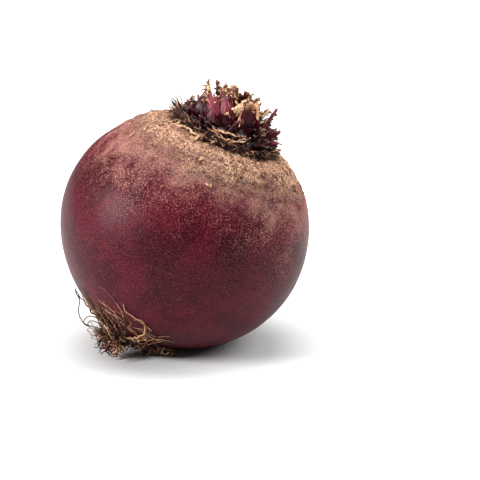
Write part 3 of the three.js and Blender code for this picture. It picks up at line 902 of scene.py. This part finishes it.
def collar_hairs():
    """Thin hairs in among the strips."""
    hairs = Pile()
    for number in range(COLLAR_HAIRS):
        path = husk_path(number + FIRST_HAIR, 18, between(0.7, 1.2, number, 64))
        along = shares(path)
        lift = unit(path) * (between(0.0, 2.4, number, 65) * np.sin(2.6 * along))[:, None]
        width = between(0.14, 0.3, number, 66) * (1 - 0.5 * along)
        hairs.add_strand(path + lift, width, 1, 5, between(0.2, 1.0, number, 67), along)
    return hairs.piece("collar_hairs", "dry_leaf_collar", "husk", HUSK_FINISH)


def loose_threads():
    """Long pale threads of leaf that lie along the front of the collar."""
    threads = Pile()
    for number in range(STRANDS_A_THREAD * len(THREADS)):
        turns, radii, heights = np.array(THREADS[number // STRANDS_A_THREAD]).T
        turns = np.radians(turns + between(-3, 3, number, 160))
        radii = radii + between(-0.3, 0.3, number, 161)
        heights = heights + between(-0.2, 0.3, number, 162)
        corners = np.column_stack([radii * np.cos(turns), radii * np.sin(turns), heights])
        path = crumpled(smooth_path(corners, THREAD_POINTS), number, 2.6, 0.9)
        first, last = int(between(0, 8, number, 163)), int(between(28, THREAD_POINTS, number, 164))
        path = np.array([keep_off_skin(point, 0.3) for point in path[first:last]])
        along = shares(path)
        width = between(0.25, 0.65, number, 165) * (1 - 0.6 * np.abs(2 * along - 1) ** 2)
        threads.add_strand(path, width, 0.5, 6, between(0.1, 0.85, number, 166), along,
                           up=(0, -0.5, 0.86), crumple=(number, 0.9, 0.12))
    return threads.piece("loose_threads", "dry_leaf_collar", "husk", TORN_FINISH)


def shoulder_flakes():
    """Thin scraps of peeling skin on the shoulder, most of them just below the collar."""
    flakes = Pile()
    for number in range(FLAKES):
        polar = math.radians(33 + 20 * chance(number, 70) ** 1.7)
        turn = number * GOLDEN_ANGLE + between(-0.2, 0.2, number, 71)
        normal, down = on_sphere(polar, turn), on_sphere(polar + math.pi / 2, turn)
        foot = normal * (skin_radius(normal) - 0.1)
        angle = between(-1.1, 1.1, number, 72)
        ahead = unit(down * math.cos(angle) + np.cross(normal, down) * math.sin(angle))
        shape = flap(foot, normal, ahead, number, 73, (0.5, 1.5), (0.7, 2.0), (0.2, 0.8))
        flakes.add_scrap(shape, 5, 7, between(-0.3, 0.6, number, 76), crumple=(number, 1.2, 0.2))
    return flakes.piece("shoulder_flakes", "swollen_root", "skin", TORN_FINISH)


# The tail and its fine roots

tail_up = unit(table_normal - TAIL * (table_normal @ TAIL))
tail_side = np.cross(TAIL, tail_up)
tail_foot = TAIL * skin_radius(TAIL)


def tail_stub():
    """The withered end of the tap root, ribbed and crumpled."""
    rows, sides = 34, 60
    along = np.linspace(0, 1, rows)
    reach = np.interp(along, [0, 1], [-1.5, TAIL_STUB_LENGTH])
    path = tail_foot + reach[:, None] * TAIL - (1.6 * along ** 2)[:, None] * tail_up
    width = TAIL_STUB_DIAMETER * (1 - 0.72 * along ** 0.8)
    vertices, faces = strand(path, width, width, sides, up=tail_up)
    centre = np.repeat(path, sides, axis=0)
    outward = vertices - centre
    angle = np.tile(ring(sides), rows)
    along = np.repeat(along, sides)
    ribs = 1 + 0.1 * np.sin(9 * angle + 4 * along) + 0.05 * np.sin(21 * angle)
    vertices = crumpled(centre + outward * ribs[:, None], 2, 1.6, 0.4)
    stub = Pile()
    stub.add(vertices, faces, tone=0.3, along=along)
    return stub.piece("tail_stub", "fine_roots", "rootlet", ROOTLET_FINISH)


def above_table(point, clearance):
    """Keeps a point of the tuft clear of the table, and higher the further forward it is."""
    return keep_off_table(point, max(clearance, TUFT_RISE * (TUFT_FRONT - point[1])))


def kept_clear(path, off_skin, off_table):
    """A path of the tuft, moved off the skin and the table."""
    return np.array([above_table(keep_off_skin(point, off_skin), off_table) for point in path])


def rootlet_path(number):
    """A rootlet clings to the skin or curls freely, and lies on the table where it meets it."""
    solid = number < SOLID_ROOTLETS
    creeps = number < CREEPING_ROOTLETS or (not solid and chance(number, 80) < 0.1)
    fan = lerp(0.3, -2.4, (number % CREEPING_ROOTLETS + 0.5) / CREEPING_ROOTLETS)
    angle = (fan if creeps else number * GOLDEN_ANGLE) + between(-0.2, 0.2, number, 21)
    outward = tail_up * math.cos(angle) + tail_side * math.sin(angle)
    height = 1.2 if creeps else between(1.2, TAIL_STUB_LENGTH * 0.8, number, 22)
    foot = 3 if creeps else 2.4
    point = tail_foot + TAIL * height + outward * foot
    spread = 1.5 if creeps else between(0.3, 1.35, number, 23)
    heading = outward * math.sin(spread) + TAIL * math.cos(spread)
    axis = unit(any_way(number, 24))
    curl = between(0.01, 0.07, number, 27) if creeps else between(0.14, 0.42, number, 27)
    length = between(9, 21, number, 28) if creeps else between(4, 8.5, number, 28)
    off_skin, off_table = (1, 0.75) if solid else (0.4, 0.35)
    path = [point]
    done = 0
    while done < length:
        heading = heading + np.cross(axis, heading) * curl * ROOTLET_STEP
        heading = heading + (COMB * COMB_PULL if creeps else GATHER * GATHER_PULL) * ROOTLET_STEP
        heading = unit(heading)
        before = point
        point = point + heading * ROOTLET_STEP
        if creeps:
            reach = np.linalg.norm(point)
            point = point * (lerp(reach, skin_radius(point / reach) + off_skin, 0.4) / reach)
        point = above_table(keep_off_skin(point, off_skin), off_table)
        if np.linalg.norm(point) < skin_radius(unit(point)) + off_skin - 0.05:
            break  # no room left under the root
        heading = unit(point - before)
        path.append(point)
        done += ROOTLET_STEP
    return np.array(path)


def rootlets():
    """The solid's own rootlets, and finer ones in among them."""
    roots = Pile()
    for number in range(ROOTLETS):
        path = rootlet_path(number)
        if len(path) < 4:
            continue
        along = shares(path)
        waves = [np.sin(11 * along * (1 + axis) + number + axis) for axis in range(3)]
        path = kept_clear(path + 0.25 * np.column_stack(waves), 0.25, 0.2)
        thick, thin = (0.85, 0.5) if number < SOLID_ROOTLETS else (0.55, 0.25)
        width = between(thin, thick, number, 29) * (1 - 0.55 * along)
        roots.add_strand(path, width, 0.85, 7, between(0.0, 0.95, number, 81) ** 1.4, along)
    return roots.piece("rootlets", "fine_roots", "rootlet", ROOTLET_FINISH)


def from_upright(x, y, z):
    """From a frame at the root's middle with +Z straight up to the root's own."""
    return np.stack([x * math.cos(LEAN) - z * math.sin(LEAN), y,
                     x * math.sin(LEAN) + z * math.cos(LEAN)], axis=-1)


def on_skin(azimuth, height, off_skin):
    """The place off_skin above the skin, at an azimuth round the upright through the root's middle, in
    degrees, and at a height over the table."""
    level = height - CENTRE_HEIGHT
    reach = HALF_WIDTH
    turn = math.radians(azimuth)
    for _ in range(6):
        flat = math.sqrt(max(reach ** 2 - level ** 2, 0))
        direction = unit(from_upright(flat * math.cos(turn), flat * math.sin(turn), level))
        reach = skin_radius(direction) + off_skin
    return direction * reach


def combed_strands():
    """Fine strands combed up over the skin. The first ones start along the line where the root comes down
    to the table."""
    strands = Pile()
    points = 22
    for number in range(COMBED_STRANDS):
        share = (number + 0.5) / COMBED_STRANDS
        azimuth = lerp(-160, -97, share) + between(-4, 4, number, 130)
        height = 7.5 + 9 * math.sin(math.pi * share) * chance(number, 131) ** 1.5
        length = lerp(11, 7, share) * between(0.5, 1.4, number, 132)
        swing = -0.35 + 1.5 * share + between(-0.15, 0.15, number, 133)
        path = []
        for step in range(points):
            gone = step / (points - 1)
            way = swing + 0.25 * math.sin(4 * gone + number) * gone
            up, back = length * gone * math.cos(way), length * gone * math.sin(way)
            off_skin = 0.12 + between(0.0, 0.6, number, 134) * math.sin(math.pi * gone) ** 2
            path.append(on_skin(azimuth - math.degrees(back / 34), height + 0.78 * up, off_skin))
        along = shares(path)
        width = between(0.22, 0.38, number, 135) * (1 - 0.5 * along)
        strands.add_strand(wander(np.array(path), 2.4, 0.1, number, 9), width, 0.8, 6,
                           between(0.1, 0.95, number, 136), along)
    for number, (thickness, places) in enumerate(STRANDS):
        path = np.array([on_skin(azimuth, height, 0.5 * thickness)
                         for azimuth, height in smooth_path(places, 10 * len(places))])
        path = kept_clear(wander(path, 1.8, 0.16, 17 * number, 1), 0.4 * thickness, 0.2)
        along = np.linspace(1, 0, len(path))
        width = thickness * (1 - 0.5 * along) * (1 + 0.12 * np.sin(23 * along + number))
        strands.add_strand(path, width, 0.85, 7, between(0.5, 1.1, number, 137), 0.6 * along)
    return strands.piece("combed_strands", "fine_roots", "rootlet", ROOTLET_FINISH)


def curled_rootlets():
    """Short thick rootlets curled into small loops, round the tail's end and along the root's foot."""
    curls = Pile()
    end = tail_foot + TAIL * TAIL_STUB_LENGTH
    along = np.linspace(0, 1, 26)
    for number in range(CURLS):
        if number % 3:
            way = unit(any_way(number, 160))
            middle = end + way * np.array([5.2, 2.2, 4.2]) * chance(number, 163) ** 0.4
        else:
            middle = on_skin(between(-146, -108, number, 164), between(0.8, 4.6, number, 165), 1.2)
        across = unit(any_way(number, 166))
        other = unit(np.cross(across, unit(any_way(number, 169))))
        angle = between(2.4, 5.4, number, 172) * along
        size = between(0.8, 2.1, number, 173) * (1 - 0.35 * along)
        path = middle + (size * np.cos(angle))[:, None] * across + (size * np.sin(angle))[:, None] * other
        path = path + 1.3 * along[:, None] * np.cross(across, other)
        path = kept_clear(wander(path, 1.2, 0.12, 3 * number, 1), 0.35, 0.35)
        width = between(0.4, 0.78, number, 174) * (1 - 0.5 * along)
        curls.add_strand(path, width, 0.85, 7, between(-0.1, 0.95, number, 175), along)
    return curls.piece("curled_rootlets", "fine_roots", "rootlet", CURL_FINISH)


def matted_strands():
    """Short curled rootlets in the narrow space between the root and the table, darker in tone than the
    other rootlets as painted shade.
    """
    mat = Pile()
    step = 0.3
    for number in range(MATTED_STRANDS):
        azimuth = -152 + 44 * chance(number, 140) ** 1.2
        height = between(1.2, 9, number, 141) * lerp(1, 0.6, chance(number, 140))
        point = on_skin(azimuth, height, 0.4)
        heading = unit(any_way(number, 142) + 0.5 * unit(point))
        axis = unit(any_way(number, 145))
        curl = between(0.2, 0.8, number, 148)
        path = [point]
        for _ in range(round(between(9, 20, number, 149))):
            heading = unit(heading + step * curl * np.cross(axis, heading))
            point = above_table(keep_off_skin(point + step * heading, 0.3), 0.3)
            path.append(point)
        along = shares(path)
        width = between(0.3, 0.62, number, 150) * (1 - 0.5 * along)
        # Their tone is kept darker than the other rootlets' as painted shade under the root
        mat.add_strand(np.array(path), width, 0.85, 6, between(-0.25, 0.55, number, 151), along)
    return mat.piece("matted_strands", "fine_roots", "rootlet", ROOTLET_FINISH)


def smooth_path(corners, points):
    """A path through the corners, rounded by a Catmull-Rom spline."""
    corners = np.asarray(corners, dtype=float)
    ends = np.vstack([2 * corners[0] - corners[1], corners, 2 * corners[-1] - corners[-2]])
    path = []
    for at in np.linspace(0, len(corners) - 1, points):
        k = min(int(at), len(corners) - 2)
        t = at - k
        a, b, c, d = ends[k:k + 4]
        path.append(0.5 * (2 * b + (c - a) * t + (2 * a - 5 * b + 4 * c - d) * t ** 2
                           + (3 * b - a - 3 * c + d) * t ** 3))
    return np.array(path)


def root_loops():
    """The long loops that stand out beside the tuft."""
    loops = Pile()
    for number, corners in enumerate(LOOPS):
        upright = np.array([(x, LOOPS_AT, height - CENTRE_HEIGHT) for x, height in corners])
        path = from_upright(*smooth_path(upright, LOOP_POINTS).T)
        path = np.array([keep_off_skin(point, 0.25) for point in path])
        along = shares(path)
        width = lerp(0.5, 0.3, number / len(LOOPS)) * (1 - 0.35 * along)
        loops.add_strand(path, width, 0.9, 7, 0.15 + 0.2 * number, along)
    return loops.piece("root_loops", "fine_roots", "rootlet", ROOTLET_FINISH)


# Light, table and camera

PIXEL = 0.3379 * MM  # what one pixel of a 480 pixel frame covers at the root
ROOT_PIXEL = (185.4, 227.9)  # the root's middle in that frame
FRAME_PIXELS = 480
ELEVATION = math.radians(16)
FOCAL_LENGTH = 155.0
SENSOR = 36.0
TABLE_HALF_M = 0.8
TABLE_WHITE = (0.64, 0.64, 0.64, 1)
MIDDLE = Vector((0, 0, CENTRE_HEIGHT * MM))
# Each light's place and width in metres, and its power in watts
LIGHTS = {
    "key": ((-0.80, -0.30, 0.42), 0.34, 14),
    "overhead": ((0.0, 0.18, 1.1), 1.1, 22),
    "rim": ((0.88, 0.02, 0.80), 0.9, 14),
}
WORLD_LIGHT = 0.1  # the world's strength as light. The camera sees it at 1, as plain white.


def camera():
    toward = Vector((0, math.cos(ELEVATION), -math.sin(ELEVATION)))
    up = Vector((0, math.sin(ELEVATION), math.cos(ELEVATION)))
    right = Vector((1, 0, 0))
    aside, below = (FRAME_PIXELS / 2 - pixel for pixel in ROOT_PIXEL)
    aim = MIDDLE + right * aside * PIXEL - up * below * PIXEL
    distance = FRAME_PIXELS * PIXEL * FOCAL_LENGTH / SENSOR
    data = bpy.data.cameras.new("camera")
    data.lens = FOCAL_LENGTH
    data.sensor_width = SENSOR
    data.clip_start = 0.01
    holder = bpy.data.objects.new("camera", data)
    holder.location = aim - toward * distance
    holder.rotation_euler = toward.to_track_quat("-Z", "Y").to_euler()
    bpy.context.collection.objects.link(holder)
    bpy.context.scene.camera = holder


def table():
    mesh = bpy.data.meshes.new("table")
    ways = ((-1, -1), (1, -1), (1, 1), (-1, 1))
    corners = [(TABLE_HALF_M * x, TABLE_HALF_M * y, -1e-4) for x, y in ways]
    mesh.from_pydata(corners, [], [(0, 1, 2, 3)])
    mesh.materials.append(Finish("table_white", roughness=0.9, specular=0.1).finish(TABLE_WHITE))
    top = bpy.data.objects.new("table", mesh)
    bpy.context.collection.objects.link(top)


def soft_box(name, place_m, size_m, power):
    data = bpy.data.lights.new(name, "AREA")
    data.shape = "DISK"
    data.size = size_m
    data.energy = power
    box = bpy.data.objects.new(name, data)
    box.location = place_m
    box.rotation_euler = (MIDDLE - Vector(place_m)).to_track_quat("-Z", "Y").to_euler()
    bpy.context.collection.objects.link(box)


def studio():
    for name, light in LIGHTS.items():
        soft_box(name, *light)
    world = bpy.data.worlds.new("studio")
    world.use_nodes = True
    nodes, links = world.node_tree.nodes, world.node_tree.links
    seen = nodes.new("ShaderNodeLightPath").outputs["Is Camera Ray"]
    strength = nodes.new("ShaderNodeMapRange")
    strength.inputs["To Min"].default_value = WORLD_LIGHT
    strength.inputs["To Max"].default_value = 1.0
    links.new(seen, strength.inputs["Value"])
    links.new(strength.outputs["Result"], nodes["Background"].inputs["Strength"])
    nodes["Background"].inputs["Color"].default_value = (1, 1, 1, 1)
    bpy.context.scene.world = world
    bpy.context.scene.view_settings.view_transform = "Standard"


STALK_FINISH = stalk_finish()
TORN_FINISH = dry_finish("torn_skin", linear(110, 68, 50), linear(178, 130, 98), linear(232, 196, 158))
HUSK_FINISH = dry_finish("husk_dry", linear(38, 20, 16), linear(96, 62, 46), linear(196, 154, 116))
ROOTLET_FINISH = dry_finish("rootlet_dry", linear(46, 26, 20), linear(118, 80, 58), linear(190, 150, 114))
CURL_FINISH = dry_finish("rootlet_red", linear(44, 18, 16), linear(122, 64, 50), linear(206, 156, 118))

camera()
table()
studio()
root_skin()
stalk_sheaths()
crown_heart()
crown_crumbs()
crown_clutter()
torn_flaps()
hollow_rim()
collar_bed()
husk_strips()
collar_hairs()
loose_threads()
shoulder_flakes()
tail_stub()
rootlets()
combed_strands()
matted_strands()
curled_rootlets()
root_loops()
